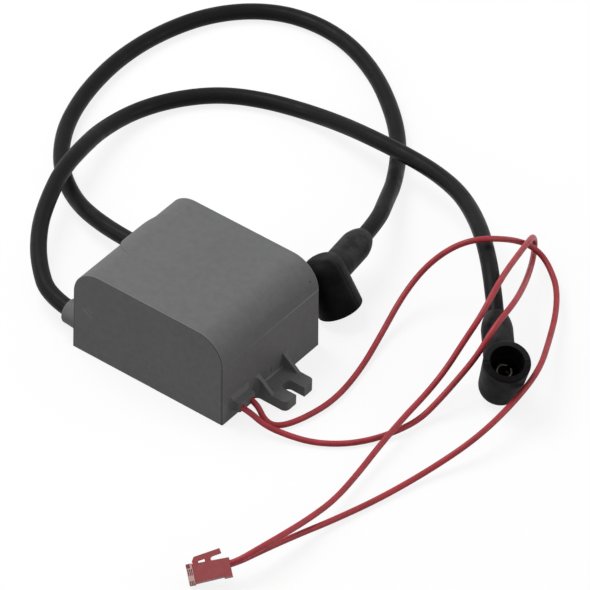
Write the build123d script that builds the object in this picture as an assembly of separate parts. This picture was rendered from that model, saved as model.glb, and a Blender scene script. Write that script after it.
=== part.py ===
"""Ignition transformer: potted housing, two high-voltage cables with elbow boots, two red leads with a plug.

Millimetres. Origin at the middle of the housing's base, +Z up, leads on +X, cables on -X.
"""
import os
from math import pi, radians, sqrt, tan

from build123d import *

# Housing
LENGTH = 80.0
WIDTH = 65.5
HEIGHT = 44.0
TOP_ROUND = 13.5
TOP_EDGE = 0.6
END_DRAFT = 0.013
FACE_DRAFT = 0.008
WALL = 2.4
RESIN_RECESS = 0.6

# Low round bulge over the end of the coil, on the rounding of the cable side
BULGE_R = 16.8
BULGE_X = -22.2
BULGE_Y = 4.1
BULGE_PROUD = 1.05

# Ears, each with an open slot for an M5 screw and two gusset ribs; reaches count from the housing's end
EAR_REACH = 15.5
EAR_WIDTH = 19.4
EAR_THICK = 5.0
EAR_CORNER = 2.5
EAR_ROOT = 0.8
SLOT_WIDTH = 5.6
SLOT_REACH = 6.3
RIB_THICK = 1.8
RIB_TOP = 12.0
RIB_REACH = 8.0
RIB_FLARE = 2.2

# Red leads and the hood they leave through
LEAD_D = 2.6
LEAD_Z = 7.2
LEAD_SIDE = (1.9, 8.5)
HOOD_IN = 6.15
HOOD_WIDE = 10.4
HOOD_REACH = 4.4
HOOD_LOW = 5.4
HOOD_TOP = 10.0
HOOD_DROP = 0.3
HOOD_SLOPE = 1.1
HOOD_ROOT = 12.4
HOOD_FLARE = 1.6
HOOD_CORNER = 0.8
CORD_SET = 3.0

# High-voltage cables and the bosses they leave through
CABLE_D = 7.3
BOSS_IN = 7.45
BOSS_Z = 10.2
BOSS_REACH = 8.0
BOSS_END_R = 5.5
BOSS_ROOT_R = 5.9
BOSS_FLARE = 1.4
BOSS_EDGE = 0.6

# Elbow boots: cup and neck at right angles
CUP_MOUTH_R = 10.1
CUP_MOUTH_EDGE = 0.9
CUP_END_R = 9.2
CUP_HEIGHT = 25.6
CUP_SHOULDER = 5.8
CUP_BORE_R = 7.2
CUP_MOUTH_DEEP = 8.0
CUP_BORE_DEEP = 18.5
CUP_INNER_R = 6.6
NECK_HEIGHT = 16.2
NECK_R = 6.8
NECK_REACH = 31.7
NECK_TIP_R = 4.4
NECK_TIP_LONG = 7.5
NECK_TIP_SWELL = 0.45
CABLE_IN_NECK = 8.0
CABLE_AHEAD = 12.0
FRONT_CUP_AXIS = (-0.281, 0.182, -0.942)
FRONT_NECK_WAY = (-0.631, 0.704, 0.325)
FRONT_MOUTH_XY = (124.4, 50.2)
REAR_CUP_AXIS = (-0.454, -0.039, 0.890)
REAR_NECK_WAY = (-0.139, 0.990, -0.027)
REAR_MOUTH_XY = (36.6, 52.1)

# Boot terminals: crimp barrel in the neck, split spring socket in the cup
BARREL_R = 2.6
SOCKET_R = 3.4
SOCKET_WALL = 0.7
SOCKET_SET = 0.5
SPLIT_WIDE = 1.8
SPLIT_LONG = 4.6
SPLIT_TURN = 45.0

# Two-way plug with a lever latch, its front edge on the floor and its rear held up by the leads
PLUG_LONG = 17.7
PLUG_TALL = 7.9
PLUG_REAR_TALL = 7.1
PLUG_DEEP = 8.0
FOOT_LONG = 3.4
FOOT_LOW = 4.1
NOSE_LONG = 2.5
NOSE_TALL = 8.4
NOTCH = (1.6, 1.9, 0.7)
GROOVE = (0.35, 2.6, 0.5)
GROOVES = 3
GROOVE_STEP = 0.7
GROOVE_Y = 0.6
CELL_Y = 0.9
PITCH = 3.96
LEAD_IN_PLUG = 5.0
LEAD_BEHIND = 4.5
CONTACT = 2.7
CONTACT_LONG = 10.0
CONTACT_HOLE = 1.7
CONTACT_BACK = 3.0
LATCH_WIDE = 3.6
LATCH_REACH = 6.2
LATCH_TOP = 7.37
LATCH_SLOPE = 0.123
LATCH_THICK = 1.95
LATCH_HOOK = 4.05
LATCH_FOOT = (-0.9, 1.9)
PLUG_XY = (94.8, -110.6)
PLUG_REAR_WAY = (0.689, 0.705, 0.170)
PLUG_FACE = (0.378, -0.548, 0.746)

# Electrical parts inside the resin; those on the board count back from its lead end
BOARD_THICK = 1.6
BOARD_LONG = 33.0
BOARD_CLEAR = 2.35
CAPACITOR = (11.0, 26.5, 18.0)
CAPACITOR_AT = (24.0, 10.0)
RESISTOR_R = 3.0
RESISTOR_LONG = 18.0
RESISTOR_AT = (10.0, 2.0)
DIODE_R = 1.6
DIODE_LONG = 7.0
DIODE_BACK = (13.0, 7.0)
DIODE_Y = -8.0
THYRISTOR = (4.6, 10.2, 15.0)
THYRISTOR_BACK = 25.0
THYRISTOR_IN = 12.0
COIL_X = -16.0
COIL_Z = 20.0
ROD_R = 5.0
ROD_CLEAR = 0.85
PRIMARY_R = 6.2
PRIMARY_SET = 5.5
HUB_R = 8.0
FLANGE_R = 13.0
FLANGE_THICK = 2.4
WINDING_R = 12.0
CHAMBERS = 4
BOBBIN_SET = 1.3
PIN_R = 0.8
PIN_SET = 8.5

# Places that follow from the sizes
END_X = LENGTH / 2
ROOT_X = END_X - WALL
HOOD_Y = -(WIDTH / 2 - HOOD_IN)
LEAD_Y = (HOOD_Y + LEAD_SIDE[0], HOOD_Y + LEAD_SIDE[1])
CORD_X = END_X - CORD_SET
BOSS_Y = WIDTH / 2 - BOSS_IN


def taper_block(length, width, height, top_round):
    """Block on the base plane: drafted ends with rounded tops, drafted faces."""
    a = length / 2
    b = a - END_DRAFT * height
    with BuildSketch(Plane.XZ) as outline:
        Polygon((-a, 0), (a, 0), (b, height), (-b, height), align=None)
        fillet(outline.vertices().sort_by(Axis.Y)[-2:], top_round)
    c = width / 2
    d = c - FACE_DRAFT * height
    faces = Plane.YZ * Polygon((-c, 0), (c, 0), (d, height), (-d, height), align=None)
    return extrude(outline.sketch, width, both=True) & extrude(faces, length, both=True)


def rod(start, way, long, radius):
    """Cylinder of a radius from a start point along a way."""
    return extrude(Plane(origin=start, z_dir=way) * Circle(radius), long)


def flare(wall, edge, way, radius):
    """Hollow quarter arc from a side face to the housing's wall."""
    return RadiusArc((wall + radius, edge), (wall, edge + way * radius), way * radius)


def ear(side):
    """Slotted ear with two gusset ribs on the lead side (1) or the cable side (-1)."""
    tip = END_X + EAR_REACH
    slot = END_X + SLOT_REACH + SLOT_WIDTH / 2
    with BuildSketch() as plan:
        with Locations(((ROOT_X + tip) / 2, 0)):
            Rectangle(tip - ROOT_X, EAR_WIDTH)
        fillet(plan.vertices().sort_by(Axis.X)[-2:], EAR_CORNER)
        with Locations((slot, 0)):
            Circle(SLOT_WIDTH / 2, mode=Mode.SUBTRACT)
        with Locations((slot + EAR_REACH / 2, 0)):
            Rectangle(EAR_REACH, SLOT_WIDTH, mode=Mode.SUBTRACT)
    piece = extrude(plan.sketch, EAR_THICK)
    wall = END_X - END_DRAFT * RIB_TOP
    outer = EAR_WIDTH / 2
    inner = outer - RIB_THICK
    foot = END_X + RIB_REACH
    seam = [(ROOT_X, EAR_THICK), (wall + EAR_ROOT, EAR_THICK), (wall, EAR_THICK + EAR_ROOT),
            (ROOT_X, EAR_THICK + EAR_ROOT)]
    piece += extrude(Plane.XZ * Polygon(*seam, align=None), inner, both=True)
    slope = [(ROOT_X, 0), (foot, 0), (foot, EAR_THICK), (wall, RIB_TOP), (ROOT_X, RIB_TOP)]
    wedge = extrude(Plane.XZ * Polygon(*slope, align=None), EAR_WIDTH, both=True)
    for way in (1, -1):
        with BuildSketch() as rib:
            with BuildLine():
                Polyline((ROOT_X, way * inner), (foot, way * inner), (foot, way * outer),
                         (wall + RIB_FLARE, way * outer))
                flare(wall, way * outer, way, RIB_FLARE)
                Polyline((wall, way * (outer + RIB_FLARE)), (ROOT_X, way * (outer + RIB_FLARE)),
                         (ROOT_X, way * inner))
            make_face()
        piece += extrude(rib.sketch, RIB_TOP) & wedge
    return piece if side > 0 else mirror(piece, Plane.YZ)


def hood():
    """Hood on the lead side that the two red leads leave through, without its holes."""
    wall = END_X - END_DRAFT * HOOD_ROOT
    end = END_X + HOOD_REACH
    near, far = HOOD_Y, HOOD_Y + HOOD_WIDE
    slope = [(ROOT_X, HOOD_LOW), (end, HOOD_LOW), (end, HOOD_TOP - HOOD_DROP),
             (wall + HOOD_SLOPE, HOOD_TOP), (wall, HOOD_ROOT), (ROOT_X, HOOD_ROOT)]
    side = extrude(Plane.XZ * Polygon(*slope, align=None), WIDTH, both=True)
    with BuildSketch() as plan:
        with BuildLine():
            Polyline((wall + HOOD_FLARE, near), (end, near), (end, far), (wall + HOOD_FLARE, far))
            flare(wall, far, 1, HOOD_FLARE)
            Polyline((wall, far + HOOD_FLARE), (ROOT_X, far + HOOD_FLARE), (ROOT_X, near - HOOD_FLARE),
                     (wall, near - HOOD_FLARE))
            flare(wall, near, -1, HOOD_FLARE)
        make_face()
        fillet(plan.vertices().sort_by(Axis.X)[-2:], HOOD_CORNER)
    return extrude(plan.sketch, HOOD_ROOT) & side


def boss(y):
    """Conical boss with a flared root for one high-voltage cable, without its bore."""
    wall = END_X - END_DRAFT * (BOSS_Z + BOSS_ROOT_R + BOSS_FLARE)
    end = END_X + BOSS_REACH
    top = BOSS_ROOT_R + BOSS_FLARE
    with BuildSketch() as half:
        with BuildLine():
            Polyline((ROOT_X, 0), (end, 0), (end, BOSS_END_R - BOSS_EDGE))
            RadiusArc((end, BOSS_END_R - BOSS_EDGE), (end - BOSS_EDGE, BOSS_END_R), -BOSS_EDGE)
            Line((end - BOSS_EDGE, BOSS_END_R), (wall + BOSS_FLARE, BOSS_ROOT_R))
            flare(wall, BOSS_ROOT_R, 1, BOSS_FLARE)
            Polyline((wall, top), (ROOT_X, top), (ROOT_X, 0))
        make_face()
    return Pos(0, y, BOSS_Z) * Rot(0, 0, 180) * revolve(half.sketch, Axis.X)


def cord(name, points, diameter):
    """Tube along straight runs joined by arcs that take 0.45 of the shorter run beside each corner."""
    radii = []
    corners = [Vector(*p) for p in points]
    for before, here, after in zip(corners, corners[1:], corners[2:]):
        turn = radians((here - before).get_angle(after - here))
        radii.append(0.45 * min((here - before).length, (after - here).length) / tan(turn / 2))
    route = FilletPolyline(*points, radius=radii)
    start = Plane(origin=corners[0], z_dir=corners[1] - corners[0])
    tube = sweep(start * Circle(diameter / 2), path=route)
    filled = tube.volume / (pi * diameter ** 2 / 4 * route.length)
    print(name, "length", round(route.length, 1), "smallest radius", round(min(radii), 1),
          "volume over section by length", round(filled, 4))
    return tube


def elbow_boot():
    """Boot with its mouth on the base plane, cup along +Z and neck along +X."""
    rim = CUP_MOUTH_R - CUP_MOUTH_EDGE
    crown = CUP_HEIGHT - CUP_SHOULDER
    with BuildSketch(Plane.XZ) as half:
        with BuildLine():
            Line((0, 0), (rim, 0))
            RadiusArc((rim, 0), (CUP_MOUTH_R, CUP_MOUTH_EDGE), -CUP_MOUTH_EDGE)
            Line((CUP_MOUTH_R, CUP_MOUTH_EDGE), (CUP_END_R, crown))
            RadiusArc((CUP_END_R, crown), (CUP_END_R - CUP_SHOULDER, CUP_HEIGHT), -CUP_SHOULDER)
            Polyline((CUP_END_R - CUP_SHOULDER, CUP_HEIGHT), (0, CUP_HEIGHT), (0, 0))
        make_face()
    cup = revolve(half.sketch, Axis.Z)
    tip = NECK_REACH - NECK_TIP_LONG
    swell = (tip + NECK_TIP_LONG / 2, (NECK_R + NECK_TIP_R) / 2 + NECK_TIP_SWELL)
    with BuildSketch() as side:
        with BuildLine():
            Polyline((0, 0), (0, NECK_R), (tip, NECK_R))
            ThreePointArc((tip, NECK_R), swell, (NECK_REACH, NECK_TIP_R))
            Polyline((NECK_REACH, NECK_TIP_R), (NECK_REACH, 0), (0, 0))
        make_face()
    neck = Pos(0, 0, NECK_HEIGHT) * revolve(side.sketch, Axis.X)
    seat = NECK_REACH - CABLE_IN_NECK
    bore = rod((0, 0, NECK_HEIGHT), (1, 0, 0), seat, BARREL_R)
    jacket = rod((seat, 0, NECK_HEIGHT), (1, 0, 0), CABLE_IN_NECK, CABLE_D / 2)
    mouth = rod((0, 0, 0), (0, 0, 1), CUP_MOUTH_DEEP, CUP_BORE_R)
    well = rod((0, 0, 0), (0, 0, 1), CUP_BORE_DEEP, CUP_INNER_R)
    return cup + neck - mouth - well - bore - jacket


def boot_terminal():
    """Crimp barrel along the neck with a split spring socket that opens towards the mouth."""
    base = CUP_MOUTH_DEEP + SOCKET_SET
    tube = rod((0, 0, base), (0, 0, 1), CUP_BORE_DEEP - base, SOCKET_R)
    slit = Box(3 * SOCKET_R, SPLIT_WIDE, SPLIT_LONG)
    tube -= Pos(0, 0, base + SPLIT_LONG / 2) * Rot(0, 0, SPLIT_TURN) * slit
    tube += rod((0, 0, NECK_HEIGHT), (1, 0, 0), NECK_REACH - CABLE_IN_NECK, BARREL_R)
    tube &= rod((0, 0, base), (0, 0, 1), CUP_BORE_DEEP - base, NECK_REACH)
    return tube - rod((0, 0, base), (0, 0, 1), CUP_BORE_DEEP - base, SOCKET_R - SOCKET_WALL)


def latch():
    """Lever on a short foot: hook over the nose, thumb end over the rear."""
    def top(x):
        return LATCH_TOP + LATCH_SLOPE * x

    def under(x):
        return top(x) - LATCH_THICK

    front = -LATCH_REACH
    near, far = LATCH_FOOT
    outline = [(front + 0.3, LATCH_HOOK), (front, LATCH_HOOK + 0.9), (front + 1.2, top(front + 1.2)),
               (LATCH_REACH - 0.3, top(LATCH_REACH)), (LATCH_REACH, under(LATCH_REACH)),
               (far + 0.3, under(far)), (far - 0.5, under(far) - 0.7), (far, PLUG_REAR_TALL / 2),
               (near, PLUG_REAR_TALL / 2), (near, under(near)), (front + 2.7, under(front + 2.7)),
               (front + 2.3, LATCH_HOOK)]
    return extrude(Plane.XY * Polygon(*outline, align=None), LATCH_WIDE / 2, both=True)


def plug_housing():
    """Two-way plug: front at -X, leads at +X, latch on +Y, grooved nose face on +Z."""
    half = PLUG_LONG / 2
    nose = -half + NOSE_LONG
    low = -PLUG_REAR_TALL / 2
    outline = [(-half, -PLUG_TALL / 2), (half - FOOT_LONG, low), (half - FOOT_LONG, -FOOT_LOW),
               (half, -FOOT_LOW), (half, PLUG_REAR_TALL / 2), (-half, PLUG_TALL / 2)]
    body = extrude(Plane.XY * Polygon(*outline, align=None), PLUG_DEEP / 2, both=True)
    body += Pos(nose - NOSE_LONG / 2, 0, 0) * Box(NOSE_LONG, NOSE_TALL, NOSE_TALL)
    body += latch()
    edge = NOSE_TALL / 2
    body -= Pos(-half + NOTCH[0] / 2, edge - NOTCH[1] / 2, edge - NOTCH[2] / 2) * Box(*NOTCH)
    for n in range(GROOVES):
        x = nose - NOSE_LONG / 2 + (n - (GROOVES - 1) / 2) * GROOVE_STEP
        body -= Pos(x, GROOVE_Y, edge - GROOVE[2] / 2) * Box(*GROOVE)
        body -= Pos(x, -edge, edge - GROOVE[2] / 2) * Box(*GROOVE)
    for way in (1, -1):
        z = way * PITCH / 2
        body -= rod((half - LEAD_IN_PLUG, CELL_Y, z), (1, 0, 0), LEAD_IN_PLUG, LEAD_D / 2)
        body -= Pos(-LEAD_IN_PLUG / 2, CELL_Y, z) * Box(PLUG_LONG - LEAD_IN_PLUG, CONTACT, CONTACT)
    return body


def plug_contact(way):
    """Box contact in its cell, open towards the front for a pin, closed on the lead."""
    back = PLUG_LONG / 2 - LEAD_IN_PLUG
    middle = back - CONTACT_LONG / 2
    at = (CELL_Y, way * PITCH / 2)
    shell = Pos(middle, *at) * Box(CONTACT_LONG, CONTACT, CONTACT)
    hole = Box(CONTACT_LONG - CONTACT_BACK, CONTACT_HOLE, CONTACT_HOLE)
    return shell - Pos(middle - CONTACT_BACK / 2, *at) * hole


# Poses of the boots and the plug; each rests on the floor
front_slant = sqrt(1 - FRONT_CUP_AXIS[2] ** 2)
front_mouth_z = (CUP_SHOULDER + (CUP_HEIGHT - CUP_SHOULDER) * -FRONT_CUP_AXIS[2]
                 + (CUP_END_R - CUP_SHOULDER) * front_slant)
front_boot_at = Plane(origin=(*FRONT_MOUTH_XY, front_mouth_z), x_dir=FRONT_NECK_WAY, z_dir=FRONT_CUP_AXIS)
rear_slant = sqrt(1 - REAR_CUP_AXIS[2] ** 2)
rear_mouth_z = (CUP_MOUTH_R - CUP_MOUTH_EDGE) * rear_slant + CUP_MOUTH_EDGE * (1 - REAR_CUP_AXIS[2])
rear_boot_at = Plane(origin=(*REAR_MOUTH_XY, rear_mouth_z), x_dir=REAR_NECK_WAY, z_dir=REAR_CUP_AXIS)
plug_turn = Plane(origin=(0, 0, 0), x_dir=PLUG_REAR_WAY, z_dir=PLUG_FACE)
plug_z = (PLUG_LONG * plug_turn.x_dir.Z + NOSE_TALL * (plug_turn.y_dir.Z + plug_turn.z_dir.Z)) / 2
plug_at = Plane(origin=(*PLUG_XY, plug_z), x_dir=PLUG_REAR_WAY, z_dir=PLUG_FACE)


def boot_entry(place):
    """Last two points of a cable: ahead of the neck and inside it."""
    return [tuple(place.from_local_coords(Vector(NECK_REACH + ahead, 0, NECK_HEIGHT)))
            for ahead in (CABLE_AHEAD, -CABLE_IN_NECK)]


def plug_entry(way):
    """Last two points of a lead: behind the plug and inside it."""
    return [tuple(plug_at.from_local_coords(Vector(PLUG_LONG / 2 + behind, CELL_Y, way * PITCH / 2)))
            for behind in (LEAD_BEHIND, -LEAD_IN_PLUG)]


front_cable = cord("front cable", [
    (-CORD_X, -BOSS_Y, BOSS_Z), (-58.5, -BOSS_Y, BOSS_Z), (-77, -10.5, 11.5), (-90, 6, 12.5),
    (-97.5, 21, 14), (-104.5, 39, 15), (-108.5, 57.5, 13.5), (-113, 77, 9), (-113, 100.5, 4.5),
    (-104.5, 119, 3.7), (-91, 133, 4), (-74, 142, 3.7), (-53.5, 146, 5), (-32, 143.5, 10.5),
    (-12.5, 139.5, 15.5), (6, 139.5, 15.5), (23.5, 137, 16.5), (41, 130.5, 18.5), (58.5, 118, 21.5),
    (75, 102.5, 24.5), *boot_entry(front_boot_at)], CABLE_D)
rear_cable = cord("rear cable", [
    (-CORD_X, BOSS_Y, BOSS_Z), (-58.5, BOSS_Y, BOSS_Z), (-79.5, 29, 8.5), (-97, 37.5, 4.5),
    (-113, 49, 3.7), (-125, 63.5, 3.7), (-133.5, 80, 3.7), (-139.5, 101, 3.7), (-142, 124.5, 3.7),
    (-139.5, 148, 3.7), (-131.5, 171, 3.7), (-117.5, 188, 3.7), (-99, 197.5, 3.7), (-74.5, 198, 3.7),
    (-48.5, 187.5, 3.7), (-24.5, 169.5, 3.9), (-8, 152, 3.7), (5.5, 130.5, 6.5), (13.5, 114, 11.5),
    *boot_entry(rear_boot_at)], CABLE_D)
front_lead = cord("front lead", [
    (CORD_X, LEAD_Y[0], LEAD_Z), (46.5, LEAD_Y[0], LEAD_Z), (56.5, -26, 4.5), (67.5, -22.5, 2.5),
    (77, -18.5, 1.5), (87, -11.5, 1.5), (95, -2.5, 1.5), (100, 9, 2.5), (103.5, 18, 2.5),
    (105, 30.5, 7), (107, 42, 12.5), (108, 50.5, 19), (109.5, 57, 24.5), (109, 65.5, 29),
    (106, 81, 27.5), (96, 102.5, 17.5), (84, 124.5, 8.5), (76.5, 136.5, 4.5), (74.5, 138.5, 11.5),
    (81, 127, 18), (87, 107.5, 23.5), (92, 94, 28.5), (96, 81.5, 31.5), (99.5, 71, 30.5),
    (100, 63.5, 27), (99, 54, 19), (98.5, 43, 11.5), (99.5, 30, 8), (100, 13, 7), (102, -6.5, 6),
    (104.5, -24.5, 4.5), (107, -43.5, 5), (108.5, -63.5, 8), (107.5, -79, 11.5), (106, -91.5, 12.3),
    *plug_entry(1)], LEAD_D)
rear_lead = cord("rear lead", [
    (CORD_X, LEAD_Y[1], LEAD_Z), (46, LEAD_Y[1], LEAD_Z), (54.5, -22.5, 2.5), (60, -17, 1.5),
    (65, -6.5, 1.5), (67.5, 9, 1.5), (64, 31.5, 1.5), (58.5, 50.5, 3), (55, 70, 8.5),
    (55.5, 81.5, 15), (61, 90, 23.5), (67.5, 94, 29.5), (73.5, 100.5, 31.5), (79, 110, 27.5),
    (78, 119, 20.5), (79, 126, 14.5), (85.5, 129, 9.5), (92, 126, 7), (100, 119.5, 6),
    (111, 105.5, 6.5), (119.5, 87, 9), (130, 66, 12.5), (134.5, 44.5, 13.5), (130.5, 19.5, 8),
    (125.5, 0, 3), (118.5, -27.5, 1.5), (112, -51, 2), (107.5, -71.5, 5), (105.5, -85, 8),
    *plug_entry(-1)], LEAD_D)

# Housing
shell = taper_block(LENGTH, WIDTH, HEIGHT, TOP_ROUND)
bulge = Pos(-BULGE_PROUD, 0, 0) * shell & rod((BULGE_X, BULGE_Y, 0), (0, 0, 1), HEIGHT, BULGE_R)
rims = [e for e in shell.edges() if abs(e.center().Y) > WIDTH / 2 - 1.0 and e.center().Z > 1.0]
shell = fillet(rims, TOP_EDGE) + bulge
cavity = taper_block(LENGTH - 2 * WALL, WIDTH - 2 * WALL, HEIGHT - WALL, TOP_ROUND - WALL)
housing = shell + ear(1) + ear(-1) + hood() + boss(BOSS_Y) + boss(-BOSS_Y) - cavity
housing = housing - front_lead - rear_lead
for y in (BOSS_Y, -BOSS_Y):
    housing -= rod((-CORD_X, y, BOSS_Z), (-1, 0, 0), CORD_SET + BOSS_REACH, CABLE_D / 2)

# Electrical parts
board_top = LEAD_Z + BOARD_THICK / 2
board_wide = WIDTH - 2 * (WALL + BOARD_CLEAR)
rod_half = WIDTH / 2 - WALL - ROD_CLEAR
primary_half = rod_half - PRIMARY_SET
bobbin_half = rod_half - BOBBIN_SET
pin_long = COIL_X - PIN_SET + CORD_X
circuit_board = Pos(CORD_X - BOARD_LONG / 2, 0, LEAD_Z) * Box(BOARD_LONG, board_wide, BOARD_THICK)
capacitor_at = (CORD_X - CAPACITOR_AT[0], CAPACITOR_AT[1], board_top + CAPACITOR[2] / 2)
storage_capacitor = Pos(*capacitor_at) * Box(*CAPACITOR)
resistor_at = (CORD_X - RESISTOR_AT[0], RESISTOR_AT[1], board_top + RESISTOR_R)
limiting_resistor = rod(resistor_at, (0, 1, 0), RESISTOR_LONG, RESISTOR_R)
diodes = []
for back in DIODE_BACK:
    diodes.append(rod((CORD_X - back, DIODE_Y, board_top + DIODE_R), (0, 1, 0), DIODE_LONG, DIODE_R))
rectifier_diodes = Compound(diodes)
thyristor_at = (CORD_X - THYRISTOR_BACK, THYRISTOR_IN - board_wide / 2, board_top + THYRISTOR[2] / 2)
trigger_thyristor = Pos(*thyristor_at) * Box(*THYRISTOR)
ferrite_rod = rod((COIL_X, -rod_half, COIL_Z), (0, 1, 0), 2 * rod_half, ROD_R)
primary_winding = rod((COIL_X, -primary_half, COIL_Z), (0, 1, 0), 2 * primary_half, PRIMARY_R) - ferrite_rod
front_output_pin = rod((-CORD_X, -BOSS_Y, BOSS_Z), (1, 0, 0), pin_long, PIN_R)
rear_output_pin = rod((-CORD_X, BOSS_Y, BOSS_Z), (1, 0, 0), pin_long, PIN_R)
secondary_bobbin = rod((COIL_X, -bobbin_half, COIL_Z), (0, 1, 0), 2 * bobbin_half, HUB_R)
step = (2 * bobbin_half - FLANGE_THICK) / CHAMBERS
for n in range(CHAMBERS + 1):
    secondary_bobbin += rod((COIL_X, -bobbin_half + n * step, COIL_Z), (0, 1, 0), FLANGE_THICK, FLANGE_R)
for inner in (primary_winding, ferrite_rod, front_output_pin, rear_output_pin):
    secondary_bobbin -= inner
rings = []
for n in range(CHAMBERS):
    at = (COIL_X, -bobbin_half + FLANGE_THICK + n * step, COIL_Z)
    wide = step - FLANGE_THICK
    ring = rod(at, (0, 1, 0), wide, WINDING_R) - rod(at, (0, 1, 0), wide, HUB_R)
    rings.append(ring.solid())
secondary_winding = Compound(rings)
potting_fill = cavity - Pos(0, 0, RESIN_RECESS / 2) * Box(LENGTH, WIDTH, RESIN_RECESS)
for inner in (circuit_board, storage_capacitor, limiting_resistor, *diodes, trigger_thyristor,
              secondary_bobbin, *rings, primary_winding, ferrite_rod, front_output_pin, rear_output_pin,
              front_cable, rear_cable, front_lead, rear_lead):
    potting_fill -= inner

nodes = {
    "housing": housing,
    "potting_fill": potting_fill,
    "circuit_board": circuit_board,
    "storage_capacitor": storage_capacitor,
    "limiting_resistor": limiting_resistor,
    "rectifier_diodes": rectifier_diodes,
    "trigger_thyristor": trigger_thyristor,
    "ferrite_rod": ferrite_rod,
    "primary_winding": primary_winding,
    "secondary_bobbin": secondary_bobbin,
    "secondary_winding": secondary_winding,
    "front_output_pin": front_output_pin,
    "rear_output_pin": rear_output_pin,
    "front_cable": front_cable,
    "rear_cable": rear_cable,
    "front_boot": front_boot_at * elbow_boot(),
    "rear_boot": rear_boot_at * elbow_boot(),
    "front_boot_terminal": front_boot_at * boot_terminal(),
    "rear_boot_terminal": rear_boot_at * boot_terminal(),
    "front_lead": front_lead,
    "rear_lead": rear_lead,
    "plug_housing": plug_at * plug_housing(),
    "upper_contact": plug_at * plug_contact(1),
    "lower_contact": plug_at * plug_contact(-1),
}

os.makedirs("parts", exist_ok=True)
for name, piece in nodes.items():
    export_step(piece, "parts/" + name + ".step")
    print(name, "solids", len(piece.solids()), "volume", round(piece.volume, 1))
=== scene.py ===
"""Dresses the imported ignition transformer: finishes, smooth cords, floor, light and camera."""

from math import cos, radians, sin, sqrt

import bpy
from mathutils import Matrix, Vector


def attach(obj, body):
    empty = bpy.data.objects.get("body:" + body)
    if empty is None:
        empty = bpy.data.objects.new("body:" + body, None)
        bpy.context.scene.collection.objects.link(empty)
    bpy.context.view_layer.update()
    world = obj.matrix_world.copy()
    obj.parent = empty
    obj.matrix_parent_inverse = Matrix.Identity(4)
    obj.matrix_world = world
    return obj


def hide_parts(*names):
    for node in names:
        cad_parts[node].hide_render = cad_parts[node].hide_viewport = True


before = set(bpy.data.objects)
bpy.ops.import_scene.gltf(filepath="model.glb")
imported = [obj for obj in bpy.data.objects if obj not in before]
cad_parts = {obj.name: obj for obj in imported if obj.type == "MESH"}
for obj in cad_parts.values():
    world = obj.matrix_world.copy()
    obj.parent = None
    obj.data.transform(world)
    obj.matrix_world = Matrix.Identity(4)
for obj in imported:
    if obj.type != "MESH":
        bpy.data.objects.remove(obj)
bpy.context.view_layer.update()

bl_info = {
    "name": "Ignition Transformer",
    "version": (1, 0, 0),
    "blender": (4, 5, 0),
    "location": "View3D > Sidebar > Igniter",
    "description": "Builds and dresses a potted ignition transformer with its cables, boots and plug",
    "category": "Object",
}

MM = 0.001
NOISE_ROUGHNESS = 0.6

# Housing, in millimetres
LENGTH = 80.0
WIDTH = 65.5
FACE_DRAFT = 0.008
SIDE_DRAFT = 0.013
ROUNDING_FOOT = 30.5
BOSS_END = (-48.0, 25.3, 10.2)
CABLE_START_X = -37.0
LEAD_START_X = 37.0
LEAD_Y = (-24.7, -18.1)
LEAD_Z = 7.2

# Marks on the housing, in millimetres
ON_FACE = (0.03, 0.05)
ON_SIDE = (0.1, 0.2)
SIDE_WALL_X = (39.0, 39.4)
EDGE_DARK = (0.05, 0.2)
EDGE_PALE = (0.38, 0.62)
PANEL_LINE = (0.55, 0.8)
MOULD_LINE_TALL = 0.2
TICK_Y = (0.0, 0.4)
TICK_Z = (7.2, 9.4)
PIT = (38.0, 28.2, 36.6)
PIT_EDGE = (0.3, 0.55)
SCUFF_WAY = (0.84, 0, -0.54)
SCUFF_ACROSS = (0.54, 0, 0.84)
SCUFF_HALF_WIDE = 0.15
SCUFFS = (((-32.0, -32.6, 21.8), 2.0), ((-30.9, -32.6, 24.2), 1.0), ((-33.4, -32.6, 23.4), 0.9))
SMEAR_REACH = 5.5
SMEAR_DEEP = (0.4, 0.8)
SMEAR_TALL = (0.55, 0.75)

# Boots, in millimetres
CUP_HEIGHT = 25.6
CUP_SHOULDER = 5.8
CUP_MOUTH_R = 10.1
CUP_MOUTH_EDGE = 0.9
CUP_END_R = 9.2
NECK_HEIGHT = 16.2
NECK_REACH = 31.7
CABLE_IN_NECK = 8.0
CABLE_AHEAD = 12.0
# Radius and depth of the painted shade inside the cup's bore
BORE_SHADE_R = (7.2, 7.6)
BORE_SHADE_DEEP = (19.0, 19.5)
# Bands of dusting and painted highlight on the neck and the shoulder
NECK_DUST_AND_HIGHLIGHT = (8.0, 13.0)
SHOULDER_DUST_AND_HIGHLIGHT = (0.4, 8.5)
PARTING_HALF_WIDE = 0.2
PARTING_END = (21.0, 24.0)
CREASE = (9.5, 9.8)

# Plug, in millimetres
PLUG_LONG = 17.7
NOSE_LONG = 2.5
NOSE_TALL = 8.4
CELL_Y = 0.9
PITCH = 3.96
LEAD_IN_PLUG = 5.0
LEAD_BEHIND = 1.5

# Stage, in metres
FLOOR_SIZE = 12
FLOOR_DROP = 0.0002
FLOOR_GREY = (0.2, 0.2, 0.2, 1.0)
FLOOR_SHOWN = (0.83, 0.83, 0.83, 1.0)
WORLD_LIGHT = 0.36
LAMP_SIZE = 0.8
LAMPS = (
    ("overhead", "key", (-0.6, 0.0, 1.1), (0, 0, 0)),
    ("front_left", "fill", (-0.9, -1.1, 0.7), (0, 0, 0.02)),
    ("back_right", "side", (1.1, 0.7, 0.5), (0, 0, 0.02)))
SENSOR_MM = 36.0
VIEW_DEPTH = 20.0


def pose(origin, x_way, z_way):
    """Matrix that sets a piece with its X along one way and its Z along another."""
    z = Vector(z_way).normalized()
    x = (Vector(x_way) - Vector(x_way).dot(z) * z).normalized()
    turn = Matrix((x, z.cross(x), z)).transposed().to_4x4()
    return Matrix.Translation(Vector(origin)) @ turn


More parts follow.
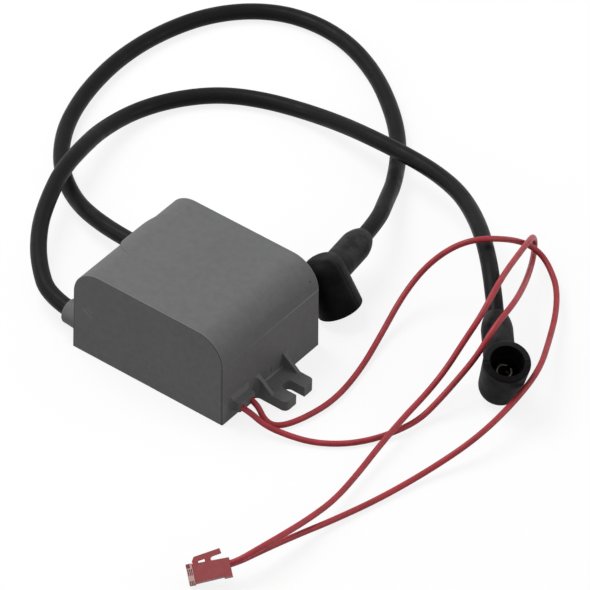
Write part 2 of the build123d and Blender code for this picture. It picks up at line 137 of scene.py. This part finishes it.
FRONT_AXIS = (-0.281, 0.182, -0.942)
REAR_AXIS = (-0.454, -0.039, 0.890)
FRONT_MOUTH_Z = (CUP_SHOULDER - (CUP_HEIGHT - CUP_SHOULDER) * FRONT_AXIS[2]
                 + (CUP_END_R - CUP_SHOULDER) * sqrt(1 - FRONT_AXIS[2] ** 2))
REAR_MOUTH_Z = ((CUP_MOUTH_R - CUP_MOUTH_EDGE) * sqrt(1 - REAR_AXIS[2] ** 2)
                + CUP_MOUTH_EDGE * (1 - REAR_AXIS[2]))
FRONT_BOOT = pose((124.4, 50.2, FRONT_MOUTH_Z), (-0.631, 0.704, 0.325), FRONT_AXIS)
REAR_BOOT = pose((36.6, 52.1, REAR_MOUTH_Z), (-0.139, 0.990, -0.027), REAR_AXIS)
PLUG = pose((94.8, -110.6, 0.0), (0.689, 0.705, 0.170), (0.378, -0.548, 0.746))
PLUG.translation.z = (PLUG_LONG * PLUG[2][0] + NOSE_TALL * (PLUG[2][1] + PLUG[2][2])) / 2


def neck_end(boot):
    """Last two points of a cable: ahead of the boot's neck and inside it."""
    ahead = boot @ Vector((NECK_REACH + CABLE_AHEAD, 0, NECK_HEIGHT))
    inside = boot @ Vector((NECK_REACH - CABLE_IN_NECK, 0, NECK_HEIGHT))
    return [tuple(ahead), tuple(inside)]


def plug_end(way):
    """Last two points of a lead: behind the plug and inside it."""
    behind = PLUG @ Vector((PLUG_LONG / 2 + LEAD_BEHIND, CELL_Y, way * PITCH / 2))
    inside = PLUG @ Vector((PLUG_LONG / 2 - LEAD_IN_PLUG, CELL_Y, way * PITCH / 2))
    return [tuple(behind), tuple(inside)]


# Routes of the cords, in millimetres
FRONT_CABLE = [
    (CABLE_START_X, -BOSS_END[1], BOSS_END[2]), (-58.5, -BOSS_END[1], BOSS_END[2]), (-77, -10.5, 11.5),
    (-90, 6, 12.5), (-97.5, 21, 14), (-104.5, 39, 15), (-108.5, 57.5, 13.5), (-113, 77, 9),
    (-113, 100.5, 4.5), (-104.5, 119, 3.7), (-91, 133, 4), (-74, 142, 3.7), (-53.5, 146, 5),
    (-32, 143.5, 10.5), (-12.5, 139.5, 15.5), (6, 139.5, 15.5), (23.5, 137, 16.5), (41, 130.5, 18.5),
    (58.5, 118, 21.5), (75, 102.5, 24.5), *neck_end(FRONT_BOOT)]
REAR_CABLE = [
    (CABLE_START_X, BOSS_END[1], BOSS_END[2]), (-58.5, BOSS_END[1], BOSS_END[2]), (-79.5, 29, 8.5),
    (-97, 37.5, 4.5), (-113, 49, 3.7), (-125, 63.5, 3.7), (-133.5, 80, 3.7), (-139.5, 101, 3.7),
    (-142, 124.5, 3.7), (-139.5, 148, 3.7), (-131.5, 171, 3.7), (-117.5, 188, 3.7), (-99, 197.5, 3.7),
    (-74.5, 198, 3.7), (-48.5, 187.5, 3.7), (-24.5, 169.5, 3.9), (-8, 152, 3.7), (5.5, 130.5, 6.5),
    (13.5, 114, 11.5), *neck_end(REAR_BOOT)]
FRONT_LEAD = [
    (LEAD_START_X, LEAD_Y[0], LEAD_Z), (46.5, LEAD_Y[0], LEAD_Z), (56.5, -25.5, 4.5), (67, -22.5, 2.5),
    (77, -18.5, 1.5), (87, -11.5, 1.5), (94.5, -2, 1.5), (100, 8, 2.5), (103, 19.5, 2.5), (105, 30, 7),
    (106.5, 42, 12.5), (108.5, 50.5, 19), (109, 57, 24.5), (109, 65.5, 29), (106, 80.5, 27.5),
    (95.5, 103, 17.5), (84, 124, 8.5), (75.5, 137.5, 4.5), (76.9, 134, 12.1), (81.8, 124, 19.2),
    (86.9, 109, 24.1), (92, 93.5, 28.5), (96.5, 81, 31.5), (99, 72, 30.5), (100.5, 62.5, 27), (99, 54, 19),
    (98.5, 43.5, 11.5), (99, 30, 8), (100, 12, 7), (102, -6.5, 6), (104.5, -25, 4.5), (107, -44, 5),
    (107.5, -62.5, 8), (107.5, -78.5, 11.5), (105.5, -92.5, 12.5), *plug_end(1)]
REAR_LEAD = [
    (LEAD_START_X, LEAD_Y[1], LEAD_Z), (46, LEAD_Y[1], LEAD_Z), (54.4, -22.2, 2.5), (60.3, -19.2, 1.5),
    (65, -7.5, 1.5), (67.5, 8.5, 1.5), (64.5, 29.5, 1.5), (58.5, 52, 3), (55, 69.5, 8.5), (55.5, 82.5, 15),
    (61, 89, 23.5), (67.5, 94.5, 29.5), (74, 100.5, 31.5), (78, 109.5, 27.5), (78.2, 119.4, 20),
    (79.8, 126.9, 13.5), (84.7, 129.5, 9), (92, 126, 7), (100.5, 119, 6), (110, 105.5, 6.5), (119.5, 87.5, 9),
    (131.6, 63.6, 15.5), (133.1, 44.6, 12), (132.6, 20, 9.2), (125.5, -1, 3), (119, -27, 1.5), (112, -51, 2),
    (107.5, -70.5, 5), (104.5, -88, 8), *plug_end(-1)]

# Side, way from the middle, route and length in metres of each cable
CABLES = (("front", -1, FRONT_CABLE, 0.430), ("rear", 1, REAR_CABLE, 0.446))

# Side, exit, route, length in metres and the pieces at the far end of each lead
LEADS = (
    ("front", LEAD_Y[0], FRONT_LEAD, 0.490, ("plug_housing", "upper_contact")),
    ("rear", LEAD_Y[1], REAR_LEAD, 0.460, ("lower_contact",)))

# Finish, colour, roughness, grain in millimetres, metallic and nodes of the parts in the resin
INSIDE = (
    ("board_laminate", (0.16, 0.22, 0.08), 0.5, 1.5, 0.0, ("circuit_board",)),
    ("component_cases", (0.25, 0.20, 0.12), 0.5, 3.0, 0.0, ("storage_capacitor", "limiting_resistor")),
    ("black_cases", (0.02, 0.02, 0.02), 0.5, 2.0, 0.0, ("rectifier_diodes", "trigger_thyristor")),
    ("ferrite_core", (0.04, 0.04, 0.045), 0.6, 1.0, 0.0, ("ferrite_rod",)),
    ("copper_wire", (0.55, 0.22, 0.10), 0.35, 0.6, 1.0, ("primary_winding", "secondary_winding")),
    ("bobbin_moulding", (0.60, 0.58, 0.50), 0.5, 4.0, 0.0, ("secondary_bobbin",)))


class Value:
    """A shader value whose arithmetic adds Math nodes to its tree."""

    def __init__(self, nodes, socket):
        self.nodes = nodes
        self.socket = socket

    def math(self, operation, first, second=0.0):
        return self.nodes.node("ShaderNodeMath", {"operation": operation}, {0: first, 1: second})

    def __add__(self, other):
        return self.math("ADD", self, other)

    def __sub__(self, other):
        return self.math("SUBTRACT", self, other)

    def __rsub__(self, other):
        return self.math("SUBTRACT", other, self)

    def __mul__(self, other):
        return self.math("MULTIPLY", self, other)

    def __abs__(self):
        return self.math("ABSOLUTE", self)

    __radd__ = __add__
    __rmul__ = __mul__


class Nodes:
    """A node tree of a material or of the world, filled through one method."""

    def __init__(self, tree):
        self.tree = tree

    def node(self, kind, settings=None, inputs=None, output=0):
        """Adds a node, sets it up, fills its sockets and hands back one of its outputs."""
        made = self.tree.nodes.new(kind)
        for key, value in (settings or {}).items():
            setattr(made, key, value)
        for key, value in (inputs or {}).items():
            self.join(made.inputs[key], value)
        return Value(self, made.outputs[output])

    def join(self, socket, value):
        """Links a value to a socket, or sets the socket to a number or a colour."""
        if isinstance(value, Value):
            self.tree.links.new(value.socket, socket)
        else:
            socket.default_value = value

    def shown(self):
        """1 for rays that show the background: camera, glossy and transmission rays."""
        hidden = 1.0
        for rays in ("Is Camera Ray", "Is Glossy Ray", "Is Transmission Ray"):
            hidden = hidden * (1 - self.node("ShaderNodeLightPath", output=rays))
        return 1 - hidden


class Finish(Nodes):
    """One material: a Principled shader and the nodes that feed it. Lengths are in millimetres."""

    def __init__(self, name, **fixed):
        self.material = bpy.data.materials.new(name)
        self.material.use_nodes = True
        super().__init__(self.material.node_tree)
        self.shader = self.tree.nodes["Principled BSDF"]
        self.feed(**fixed)

    def feed(self, **sockets):
        """Fills sockets of the shader by their names in small letters."""
        for name, value in sockets.items():
            self.join(self.shader.inputs[name.replace("_", " ").title().replace("Ior", "IOR")], value)

    def places(self):
        return self.node("ShaderNodeTexCoord", output="Object")

    def along(self, way, origin=(0, 0, 0)):
        """Distance along a way from an origin."""
        start = self.node("ShaderNodeVectorMath", {"operation": "SUBTRACT"}, {
            0: self.places(), 1: [v * MM for v in origin]})
        return self.node("ShaderNodeVectorMath", {"operation": "DOT_PRODUCT"}, {
            0: start, 1: [v / MM for v in way]}, output="Value")

    def axes(self, place=Matrix()):
        """Distances along the three axes of a pose."""
        turn = place.to_3x3().transposed()
        return [self.along(turn[n], place.translation) for n in range(3)]

    def away(self, point):
        """Distance from a point."""
        gap = self.node("ShaderNodeVectorMath", {"operation": "DISTANCE"}, {
            0: self.places(), 1: [v * MM for v in point]}, output="Value")
        return gap * (1 / MM)

    def noise(self, size, detail):
        """Cloudy pattern with spots of about a size."""
        return self.node("ShaderNodeTexNoise", inputs={
            "Vector": self.places(), "Scale": 1 / (size * MM), "Detail": detail,
            "Roughness": NOISE_ROUGHNESS}, output="Fac")

    def step(self, value, low, high, to_low=0.0, to_high=1.0):
        """Smooth change from one number to another between two limits."""
        return self.node("ShaderNodeMapRange", {"interpolation_type": "SMOOTHSTEP"}, {
            "Value": value, "From Min": low, "From Max": high, "To Min": to_low, "To Max": to_high})

    def below(self, value, low, high):
        """1 below a lower limit, fading to 0 at an upper one."""
        return self.step(value, low, high, 1.0, 0.0)

    def band(self, value, low, high, soft):
        """1 between two limits, fading to 0 outside them."""
        return self.step(value, low - soft, low) * self.below(value, high, high + soft)

    def mix(self, factor, first, second):
        return self.node("ShaderNodeMix", {"data_type": "RGBA"}, {0: factor, 6: first, 7: second}, output=2)

    def bump(self, height, strength, depth, soft_edge):
        """Surface relief over edges that look rounded to a radius."""
        edge = self.node("ShaderNodeBevel", {"samples": 6}, {"Radius": soft_edge * MM})
        self.feed(normal=self.node("ShaderNodeBump", inputs={
            "Height": height, "Strength": strength, "Distance": depth * MM, "Normal": edge}))


def shade(rgb, by=1.0):
    """Colour as four numbers, made lighter or darker."""
    return tuple(min(1.0, c * by) for c in rgb) + (1.0,)


class IgniterFinishes(bpy.types.PropertyGroup):
    """Colours of the object's materials."""
    housing: bpy.props.FloatVectorProperty(
        name="Housing", description="Moulded housing", subtype="COLOR",
        default=(0.142, 0.144, 0.143), min=0, max=1)
    cable: bpy.props.FloatVectorProperty(
        name="Cable", description="High-voltage cable jacket", subtype="COLOR",
        default=(0.007, 0.007, 0.008), min=0, max=1)
    boot: bpy.props.FloatVectorProperty(
        name="Boot", description="Moulded rubber boots", subtype="COLOR",
        default=(0.005, 0.005, 0.005), min=0, max=1)
    lead: bpy.props.FloatVectorProperty(
        name="Lead", description="Lead insulation", subtype="COLOR",
        default=(0.420, 0.032, 0.044), min=0, max=1)
    plug: bpy.props.FloatVectorProperty(
        name="Plug", description="Moulded plug", subtype="COLOR",
        default=(0.468, 0.112, 0.117), min=0, max=1)
    # Pale face of the nose, its colour lifted as a painted highlight
    nose: bpy.props.FloatVectorProperty(
        name="Nose", description="Pale face of the plug's nose", subtype="COLOR",
        default=(0.940, 0.720, 0.690), min=0, max=1)
    resin: bpy.props.FloatVectorProperty(
        name="Resin", description="Casting resin", subtype="COLOR",
        default=(0.360, 0.240, 0.140), min=0, max=1)
    # Tinned metal set far darker than its own colour: painted shade inside the boots
    metal_in_shade: bpy.props.FloatVectorProperty(
        name="Metal", description="Tinned terminals and pins", subtype="COLOR",
        default=(0.080, 0.068, 0.054), min=0, max=1)
    brass: bpy.props.FloatVectorProperty(
        name="Contact", description="Plug contacts", subtype="COLOR",
        default=(0.700, 0.550, 0.280), min=0, max=1)


class IgniterSizes(bpy.types.PropertyGroup):
    """Diameters of the cords."""
    cable: bpy.props.FloatProperty(
        name="Cable", description="Diameter of a high-voltage cable",
        default=0.0073, min=0.001, unit="LENGTH")
    lead: bpy.props.FloatProperty(
        name="Lead", description="Diameter of a lead", default=0.0026, min=0.0005, unit="LENGTH")


class IgniterStudio(bpy.types.PropertyGroup):
    """Camera and light."""
    azimuth: bpy.props.FloatProperty(
        name="Azimuth", description="Camera's turn", default=radians(37.03), subtype="ANGLE")
    elevation: bpy.props.FloatProperty(
        name="Elevation", description="Camera's height angle", default=radians(41.12), subtype="ANGLE")
    roll: bpy.props.FloatProperty(
        name="Roll", description="Camera's tilt", default=radians(1.23), subtype="ANGLE")
    distance: bpy.props.FloatProperty(
        name="Distance", description="Camera to the object", default=2.8, unit="LENGTH")
    aim_right: bpy.props.FloatProperty(
        name="Right", description="Camera moved right", default=0.04164, unit="LENGTH")
    aim_up: bpy.props.FloatProperty(
        name="Up", description="Camera moved up", default=0.020885, unit="LENGTH")
    lens: bpy.props.FloatProperty(
        name="Lens", description="Focal length in millimetres", default=407.0)
    key: bpy.props.FloatProperty(
        name="Key", description="Power of the overhead light in watts", default=7.8)
    fill: bpy.props.FloatProperty(
        name="Fill", description="Power of the light at the front left in watts", default=4.0)
    side: bpy.props.FloatProperty(
        name="Side", description="Power of the light at the back right in watts", default=3.2)


def picked(name):
    """The CAD node's object."""
    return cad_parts[name]


def dress(finish, *names):
    """Gives CAD nodes one finish."""
    for name in names:
        slots = picked(name).data.materials
        slots.clear()
        slots.append(finish.material)


def housing_finish(looks):
    """Matt grey plastic with a fine grain, lined face edges, mould lines (the one at the rounding's foot with
    a painted highlight), scuffs and a smear of resin.
    """
    paint = Finish("housing_plastic", roughness=0.6, specular_ior_level=0.3)
    x, y, z = paint.axes()
    tone = paint.noise(26, 4) * 0.25 + paint.noise(3.2, 3) * 0.3 + paint.noise(0.5, 2) * 0.45
    grey = paint.mix(paint.step(tone, 0.36, 0.64), shade(looks.housing, 0.9), shade(looks.housing, 1.1))
    rubbed = paint.step(paint.noise(1.1, 2), 0.70, 0.78) * paint.step(paint.noise(17, 2), 0.5, 0.66)
    grey = paint.mix(rubbed * 0.4, grey, shade(looks.housing, 1.8))

    # Depth behind the front or back face and behind the side walls
    face = WIDTH / 2 - FACE_DRAFT * z - abs(y)
    side = LENGTH / 2 - SIDE_DRAFT * z - abs(x)
    on_face = paint.below(abs(face), *ON_FACE)
    front_half = paint.below(y, -1, 0)

    # Lines along the edges of the faces
    grey = paint.mix(paint.band(face, *EDGE_PALE, 0.15) * 0.5, grey, shade(looks.housing, 1.45))
    grey = paint.mix(paint.band(face, *EDGE_DARK, 0.06) * 0.75, grey, shade(looks.housing, 0.35))
    panel = on_face * paint.below(z, ROUNDING_FOOT - 1, ROUNDING_FOOT)
    grey = paint.mix(panel * paint.band(side, *PANEL_LINE, 0.15) * 0.7, grey, shade(looks.housing, 0.4))

    # Mould line at the foot of the rounding: a ridge in the bump, painted lighter as a highlight that grows
    # towards the back, and a tick above the ear
    line = paint.band(z, ROUNDING_FOOT, ROUNDING_FOOT + MOULD_LINE_TALL, 0.1)
    line = line * paint.step(abs(x), *SIDE_WALL_X)
    grey = paint.mix(line * paint.step(y, -15, 30, 0.2, 1.0), grey, shade(looks.housing, 2.8))
    tick = paint.band(y, *TICK_Y, 0.15) * paint.band(z, *TICK_Z, 0.4) * paint.below(abs(side), *ON_SIDE)
    grey = paint.mix(tick * 0.8, grey, shade(looks.housing, 0.3))

    # Painted shade in a pit, scuffs and the smear of resin
    # Near-black dot: painted shade of a small pit that the mesh does not have
    pit_shade = paint.below(paint.away(PIT), *PIT_EDGE)
    grey = paint.mix(pit_shade * 0.9, grey, shade(looks.housing, 0.12))
    for centre, reach in SCUFFS:
        scuff = paint.band(paint.along(SCUFF_ACROSS, centre), -SCUFF_HALF_WIDE, SCUFF_HALF_WIDE, 0.4)
        scuff = scuff * paint.band(paint.along(SCUFF_WAY, centre), -reach, reach, 1.0)
        grey = paint.mix(scuff * on_face * front_half * 0.3, grey, shade(looks.housing, 2.0))
    smear = paint.band(x + paint.noise(2.5, 2) * 3.0, -SMEAR_REACH, SMEAR_REACH, 0.5)
    smear = smear * paint.below(z + paint.noise(1.3, 2) * 0.6, *SMEAR_TALL)
    grey = paint.mix(smear * paint.below(face, *SMEAR_DEEP) * front_half, grey, shade(looks.resin, 1.25))

    paint.feed(base_color=grey)
    paint.bump(paint.noise(0.32, 2) * 0.6 + paint.noise(1.4, 2) * 0.3 + line * 0.5, 0.3, 0.12, 0.35)
    return paint


def rubber(name, rough, sheen):
    """Black rubber, its grey bloom with fine specks, and the height of its grain."""
    paint = Finish(name, specular_ior_level=sheen)
    paint.feed(roughness=paint.step(paint.noise(5, 3), 0.3, 0.7, rough - 0.06, rough + 0.08))
    cloud = paint.step(paint.noise(9, 4), 0.42, 0.72)
    specks = paint.step(paint.noise(0.9, 2), 0.66, 0.74)
    return paint, cloud + specks * 0.6, paint.noise(0.8, 2) * 0.5 + paint.noise(4, 2) * 0.4


def cable_finish(looks):
    """Silicone jacket with a soft sheen."""
    paint, bloom, grain = rubber("cable_jacket", 0.42, 0.10)
    paint.feed(base_color=paint.mix(bloom * 0.1, shade(looks.cable), shade(looks.cable, 5.0)))
    paint.bump(grain, 0.18, 0.15, 0.2)
    return paint


def boot_finish(looks, name, boot):
    """Moulded rubber, dusty on the neck, with a painted highlight on the neck and the shoulder, a dark line
    where the mould parts, painted shade deep in the cup and a crease at the neck.
    """
    paint, bloom, grain = rubber(name, 0.5, 0.04)
    x, y, z = paint.axes(boot)
    # Neck and shoulder made lighter: real dusting plus a painted highlight where they face the light
    neck = paint.step(x, *NECK_DUST_AND_HIGHLIGHT) * paint.step(paint.noise(6, 3), 0.32, 0.6, 0.45, 1.0)
    shoulder = paint.band(x, *SHOULDER_DUST_AND_HIGHLIGHT, 3.0) * paint.step(z, 0, 10, 0.4, 0.8)
    dust_and_highlight = bloom * 0.14 + neck * 0.95 + shoulder * 0.6
    black = paint.mix(dust_and_highlight, shade(looks.boot), shade(looks.boot, 11.0))
    parting = paint.band(x, -PARTING_HALF_WIDE, PARTING_HALF_WIDE, 0.15) * paint.below(z, *PARTING_END)
    black = paint.mix(parting * 0.9, black, shade(looks.boot, 0.1))
    # Painted shade deep inside the cup's bore
    bore_shade = paint.below(x * x + y * y, BORE_SHADE_R[0] ** 2, BORE_SHADE_R[1] ** 2) * paint.below(z, *BORE_SHADE_DEEP)
    paint.feed(base_color=paint.mix(bore_shade * 0.85, black, shade(looks.boot, 0.1)))
    crease = paint.band(x, *CREASE, 0.25)
    paint.bump(grain - parting * 1.2 - crease, 0.35, 0.2, 0.3)
    return paint


def lead_finish(looks):
    """Red insulation with a soft sheen and faint handling marks."""
    paint = Finish("lead_insulation", specular_ior_level=0.4)
    tone = paint.step(paint.noise(7, 3), 0.35, 0.7)
    paint.feed(base_color=paint.mix(tone, shade(looks.lead, 0.86), shade(looks.lead, 1.12)))
    paint.feed(roughness=paint.step(paint.noise(2, 2), 0.3, 0.7, 0.4, 0.52))
    paint.bump(paint.noise(0.7, 2), 0.1, 0.05, 0.1)
    return paint


def plug_finish(looks):
    """Red nylon with a fine grain, a pale face on the nose made lighter still as a painted highlight, and
    painted shade in the grooves beside it.
    """
    paint = Finish("plug_nylon", specular_ior_level=0.12)
    x, _, z = paint.axes(PLUG)
    tone = paint.step(paint.noise(2.4, 3), 0.35, 0.7)
    red = paint.mix(tone, shade(looks.plug, 0.96), shade(looks.plug, 1.06))
    nose = NOSE_LONG - PLUG_LONG / 2
    top = NOSE_TALL / 2
    # Pale face on the top of the nose, made lighter still as a painted highlight where it faces the light
    pale = paint.below(x, nose - 0.1, nose + 0.1) * paint.step(z, top - 0.2, top - 0.1)
    red = paint.mix(pale * 0.66, red, shade(looks.nose))
    # Painted shade in the grooves on the nose, below its pale face
    groove_shade = paint.below(x, nose - 0.1, nose) * paint.below(z, top - 0.3, top - 0.2)
    red = paint.mix(groove_shade * 0.75, red, shade(looks.plug, 0.75))
    paint.feed(base_color=red)
    paint.feed(roughness=paint.step(paint.noise(1.2, 2), 0.3, 0.7, 0.42, 0.55))
    paint.bump(paint.noise(0.25, 2), 0.2, 0.04, 0.1)
    return paint


def grained_finish(name, rgb, rough, size, metallic=0.0):
    """Plain finish with a fine shift of tone and roughness."""
    paint = Finish(name, metallic=metallic)
    tone = paint.step(paint.noise(size, 3), 0.35, 0.68)
    paint.feed(base_color=paint.mix(tone, shade(rgb, 0.85), shade(rgb, 1.1)))
    paint.feed(roughness=paint.step(paint.noise(size * 0.6, 2), 0.3, 0.7, rough - 0.08, rough + 0.08))
    paint.bump(paint.noise(size * 0.3, 2), 0.12, 0.05, 0.15)
    return paint


def lay_cord(name, route, diameter, paint):
    """One smooth cord along the route's points, in place of its CAD tube."""
    curve = bpy.data.curves.new(name, "CURVE")
    curve.dimensions = "3D"
    spline = curve.splines.new("NURBS")
    spline.points.add(len(route) - 1)
    for point, place in zip(spline.points, route):
        point.co = (*(v * MM for v in place), 1.0)
    spline.order_u = 3
    spline.use_endpoint_u = True
    spline.resolution_u = 10
    curve.resolution_u = 10
    curve.bevel_depth = diameter / 2
    curve.bevel_resolution = 8
    curve.use_fill_caps = True
    curve.materials.append(paint.material)
    cord = bpy.data.objects.new(name, curve)
    bpy.context.collection.objects.link(cord)
    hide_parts(name.replace("_cord", ""))
    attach(cord, "root")
    return cord


class IGNITER_OT_stage(bpy.types.Operator):
    """Pale floor, soft light and the camera"""
    bl_idname = "igniter.stage"
    bl_label = "Stage"

    def execute(self, context):
        studio = context.scene.igniter_studio
        self.floor()
        self.world(context.scene)
        for name, power, place, target in LAMPS:
            self.lamp(name, getattr(studio, power), place, target)
        self.camera(context.scene, studio)
        context.scene.view_settings.view_transform = "Standard"
        return {"FINISHED"}

    def floor(self):
        """White to the camera, grey to the object, and it keeps the shadow."""
        bpy.ops.object.select_all(action="DESELECT")
        bpy.ops.mesh.primitive_plane_add(size=FLOOR_SIZE, location=(0, 0, -FLOOR_DROP))
        ground = bpy.context.object
        ground.name = "floor"
        paint = Finish("floor_white", base_color=FLOOR_GREY, roughness=1.0, specular_ior_level=0.0,
                       emission_strength=1.0)
        paint.feed(emission_color=paint.mix(paint.shown(), (0, 0, 0, 1), FLOOR_SHOWN))
        ground.data.materials.append(paint.material)

    def world(self, scene):
        """White behind the object, and a dimmer light on it from all sides."""
        scene.world = bpy.data.worlds.new("studio")
        scene.world.use_nodes = True
        sky = Nodes(scene.world.node_tree)
        back = sky.tree.nodes["Background"]
        sky.join(back.inputs["Color"], (1, 1, 1, 1))
        sky.join(back.inputs["Strength"], sky.shown() * (1 - WORLD_LIGHT) + WORLD_LIGHT)

    def lamp(self, name, power, place, target):
        data = bpy.data.lights.new(name, "AREA")
        data.shape = "DISK"
        data.size = LAMP_SIZE
        data.energy = power
        lamp = bpy.data.objects.new(name, data)
        lamp.location = place
        lamp.rotation_euler = (Vector(target) - Vector(place)).to_track_quat("-Z", "Y").to_euler()
        bpy.context.collection.objects.link(lamp)

    def camera(self, scene, studio):
        az, el, roll = studio.azimuth, studio.elevation, studio.roll
        back = Vector((sin(az) * cos(el), -cos(az) * cos(el), sin(el)))
        right = Vector((cos(az), sin(az), 0))
        up = back.cross(right)
        side = cos(roll) * right + sin(roll) * up
        top = cos(roll) * up - sin(roll) * right
        data = bpy.data.cameras.new("camera")
        data.sensor_width = SENSOR_MM
        data.lens = studio.lens
        data.clip_end = VIEW_DEPTH
        eye = bpy.data.objects.new("camera", data)
        place = side * studio.aim_right + top * studio.aim_up + back * studio.distance
        eye.matrix_world = Matrix.Translation(place) @ Matrix((side, top, back)).transposed().to_4x4()
        bpy.context.collection.objects.link(eye)
        scene.camera = eye


class IGNITER_OT_cords(bpy.types.Operator):
    """High-voltage cables and red leads as smooth cords"""
    bl_idname = "igniter.cords"
    bl_label = "Cords"

    def execute(self, context):
        looks, sizes = context.scene.igniter_finishes, context.scene.igniter_sizes
        jacket = cable_finish(looks)
        for side, way, route, length in CABLES:
            cable = lay_cord(side + "_cable_cord", route, sizes.cable, jacket)
            exit_mm = (BOSS_END[0], way * BOSS_END[1], BOSS_END[2])
            tuple(v * MM for v in exit_mm)
            picked(side + "_boot")
            picked(side + "_boot_terminal")
        insulation = lead_finish(looks)
        for side, y, route, length, carried in LEADS:
            lead = lay_cord(side + "_lead_cord", route, sizes.lead, insulation)
            y * MM
        return {"FINISHED"}


class IGNITER_OT_housing(bpy.types.Operator):
    """Finish of the housing and the resin"""
    bl_idname = "igniter.housing"
    bl_label = "Housing"

    def execute(self, context):
        looks = context.scene.igniter_finishes
        dress(housing_finish(looks), "housing")
        dress(grained_finish("casting_resin", looks.resin, 0.55, 4.0), "potting_fill")
        return {"FINISHED"}


class IGNITER_OT_boots(bpy.types.Operator):
    """Finish of the boots, their terminals and the output pins"""
    bl_idname = "igniter.boots"
    bl_label = "Boots"

    def execute(self, context):
        looks = context.scene.igniter_finishes
        dress(boot_finish(looks, "front_boot_rubber", FRONT_BOOT), "front_boot")
        dress(boot_finish(looks, "rear_boot_rubber", REAR_BOOT), "rear_boot")
        # Terminals and pins darkened as painted shade inside the boots
        dress(grained_finish("tinned_metal", looks.metal_in_shade, 0.5, 2.0, 1.0), "front_boot_terminal",
              "rear_boot_terminal", "front_output_pin", "rear_output_pin")
        return {"FINISHED"}


class IGNITER_OT_plug(bpy.types.Operator):
    """Finish of the plug and its contacts"""
    bl_idname = "igniter.plug"
    bl_label = "Plug"

    def execute(self, context):
        looks = context.scene.igniter_finishes
        dress(plug_finish(looks), "plug_housing")
        dress(grained_finish("contact_metal", looks.brass, 0.35, 1.0, 1.0), "upper_contact", "lower_contact")
        return {"FINISHED"}


class IGNITER_OT_inside(bpy.types.Operator):
    """Finish of the electrical parts in the resin"""
    bl_idname = "igniter.inside"
    bl_label = "Inside"

    def execute(self, context):
        for name, rgb, rough, grain, metallic, nodes in INSIDE:
            dress(grained_finish(name, rgb, rough, grain, metallic), *nodes)
        return {"FINISHED"}


STEPS = (IGNITER_OT_stage, IGNITER_OT_cords, IGNITER_OT_housing, IGNITER_OT_boots, IGNITER_OT_plug,
         IGNITER_OT_inside)


class IGNITER_PT_panel(bpy.types.Panel):
    """Lists the steps in the sidebar"""
    bl_label = "Igniter"
    bl_space_type = "VIEW_3D"
    bl_region_type = "UI"
    bl_category = "Igniter"

    def draw(self, context):
        for step in STEPS:
            self.layout.operator(step.bl_idname)


GROUPS = {"igniter_finishes": IgniterFinishes, "igniter_sizes": IgniterSizes, "igniter_studio": IgniterStudio}


def register():
    """Registers the settings, the steps and the panel."""
    for name, group in GROUPS.items():
        bpy.utils.register_class(group)
        setattr(bpy.types.Scene, name, bpy.props.PointerProperty(type=group))
    for step in (*STEPS, IGNITER_PT_panel):
        bpy.utils.register_class(step)


def unregister():
    """Takes back what register added."""
    for step in (IGNITER_PT_panel, *reversed(STEPS)):
        bpy.utils.unregister_class(step)
    for name, group in GROUPS.items():
        delattr(bpy.types.Scene, name)
        bpy.utils.unregister_class(group)


def main():
    """Runs the steps in order."""
    register()
    bpy.ops.igniter.stage()
    bpy.ops.igniter.cords()
    bpy.ops.igniter.housing()
    bpy.ops.igniter.boots()
    bpy.ops.igniter.plug()
    bpy.ops.igniter.inside()


if __name__ == "__main__":
    main()
